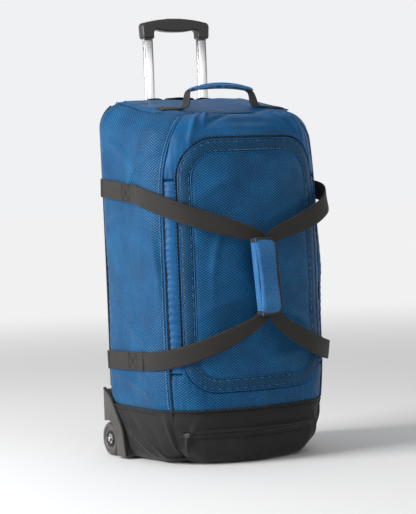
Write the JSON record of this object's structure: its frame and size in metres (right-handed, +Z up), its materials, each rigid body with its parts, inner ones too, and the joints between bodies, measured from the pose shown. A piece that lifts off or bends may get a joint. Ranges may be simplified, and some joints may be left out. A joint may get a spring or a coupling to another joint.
{
  "type": "rolling duffel bag",
  "caption": "Upright soft duffel bag with a zipped lid, haul straps, a pull-up handle and wheels at the back of its base.",
  "frame": {"origin": "middle of the flat resting face under the base, with the bag standing upright", "axes": "+Z up, -Y out of the lid, +Y to the wheels and the pull-up handle, +X to the bag's right as the lid is faced"},
  "size_m": [0.417, 0.4096, 0.9335],
  "materials": {
    "ripstop_blue": "woven, with a small diamond rib",
    "smooth_blue": "plain weave, slightly sheened",
    "deep_blue": "plain weave",
    "black_fabric": "heavy coated weave",
    "zip_tape": "woven tape with nylon teeth",
    "zip_metal": "dark plated",
    "pull_rubber": "moulded",
    "stiff_board": "sheet",
    "housing_plastic": "fine moulded grain",
    "steel": "turned",
    "tyre_rubber": "smooth urethane",
    "hub_plastic": "moulded",
    "bright_tube": "bright anodised",
    "grip_plastic": "satin moulded",
    "webbing": "ribbed webbing"
  },
  "bodies": {
    "bag": {"side_panel_left": "ripstop_blue", "side_panel_right": "ripstop_blue", "gusset_left": "smooth_blue", "gusset_right": "smooth_blue", "back_panel": "black_fabric", "top_panel": "smooth_blue", "upper_front_panel": "smooth_blue", "lower_front_band": "ripstop_blue", "base_shell": "black_fabric", "main_zip": "zip_tape", "pocket_zip": "zip_tape", "seam_piping_left": "deep_blue", "seam_piping_right": "deep_blue", "back_piping_left": "black_fabric", "back_piping_right": "black_fabric", "frame_sheet": "stiff_board", "base_board": "stiff_board", "wheel_housing_left": "housing_plastic", "wheel_housing_right": "housing_plastic", "housing_screws": "steel", "axle_left": "steel", "axle_right": "steel", "trolley_bezel": "housing_plastic", "outer_tube_left": "bright_tube", "outer_tube_right": "bright_tube", "tube_foot_bracket": "housing_plastic", "bracket_screws": "steel", "strap_anchors_left": "webbing", "strap_anchors_right": "webbing", "haul_strap_left": "webbing", "haul_strap_right": "webbing", "wrap_back": "smooth_blue", "top_handle_anchors": "webbing"},
    "lid": {"lid_centre": "ripstop_blue", "lid_border": "deep_blue", "lid_piping": "smooth_blue"},
    "main_slider": {"main_zip_slider": "zip_metal"},
    "main_pull": {"main_zip_pull": "pull_rubber"},
    "pocket_slider": {"pocket_zip_slider": "zip_metal"},
    "pocket_pull": {"pocket_zip_pull": "pull_rubber"},
    "wheel_left": {"wheel_tyre_left": "tyre_rubber", "wheel_hub_left": "hub_plastic", "wheel_bearings_left": "steel"},
    "wheel_right": {"wheel_tyre_right": "tyre_rubber", "wheel_hub_right": "hub_plastic", "wheel_bearings_right": "steel"},
    "pull_handle": {"inner_tube_left": "bright_tube", "inner_tube_right": "bright_tube", "grip": "grip_plastic"},
    "button": {"release_button": "grip_plastic", "push_rod_left": "steel", "push_rod_right": "steel"},
    "lock_pins": {"lock_pin_left": "steel", "lock_pin_right": "steel"},
    "wrap_cover": {"wrap_flap": "smooth_blue"},
    "top_handle": {"top_handle_legs": "webbing", "top_handle_sleeve": "smooth_blue"}
  },
  "joints": [
    {"name": "lid_hinge", "type": "hinge", "parent": "bag", "child": "lid", "pos_m": [0, -0.178, 0.15], "axis": [1, 0, 0], "range_deg": [0, 100], "deforming": ["haul_strap_left", "haul_strap_right", "wrap_back", "wrap_flap"]},
    {"name": "main_zip_slide", "type": "slide", "parent": "bag", "child": "main_slider", "axis": [0, 0, 1], "range_m": [0, 0.32]},
    {"name": "main_pull_swing", "type": "hinge", "parent": "main_slider", "child": "main_pull", "pos_m": [0.16663, -0.13815, 0.238], "axis": [-0.7547, -0.6561, 0], "range_deg": [0, 120]},
    {"name": "pocket_zip_slide", "type": "hinge", "parent": "bag", "child": "pocket_slider", "pos_m": [0, 0.16, 0.067], "axis": [0, 0, 1], "range_deg": [0, 57]},
    {"name": "pocket_pull_swing", "type": "hinge", "parent": "pocket_slider", "child": "pocket_pull", "pos_m": [-0.16533, -0.14323, 0.065], "axis": [-0.878, 0.4787, 0], "range_deg": [0, 120]},
    {"name": "wheel_left_spin", "type": "hinge", "parent": "bag", "child": "wheel_left", "pos_m": [-0.185, 0.145, 0.036], "axis": [1, 0, 0], "continuous": true},
    {"name": "wheel_right_spin", "type": "hinge", "parent": "bag", "child": "wheel_right", "pos_m": [0.185, 0.145, 0.036], "axis": [1, 0, 0], "continuous": true},
    {"name": "handle_slide", "type": "slide", "parent": "bag", "child": "pull_handle", "axis": [0, 0, 1], "range_m": [-0.121, 0.225]},
    {"name": "button_press", "type": "slide", "parent": "pull_handle", "child": "button", "axis": [0, 0, 1], "range_m": [-0.003, 0], "stiffness_N_per_m": 300, "springref_m": 0.004},
    {"name": "lock_pin_slide", "type": "slide", "parent": "pull_handle", "child": "lock_pins", "axis": [0, 1, 0], "range_m": [0, 0.0015]},
    {"name": "wrap_hinge", "type": "hinge", "parent": "bag", "child": "wrap_cover", "pos_m": [-0.0284, -0.2242, 0.381], "axis": [0, 0, -1], "range_deg": [0, 150]},
    {"name": "top_handle_tilt", "type": "hinge", "parent": "bag", "child": "top_handle", "pos_m": [0, -0.047, 0.72799], "axis": [1, 0, 0], "range_deg": [-50, 60], "deforming": ["top_handle_legs"]}
  ],
  "couplings": [
    {"joint": "lock_pin_slide", "follows": "button_press", "ratio": -0.5}
  ]
}
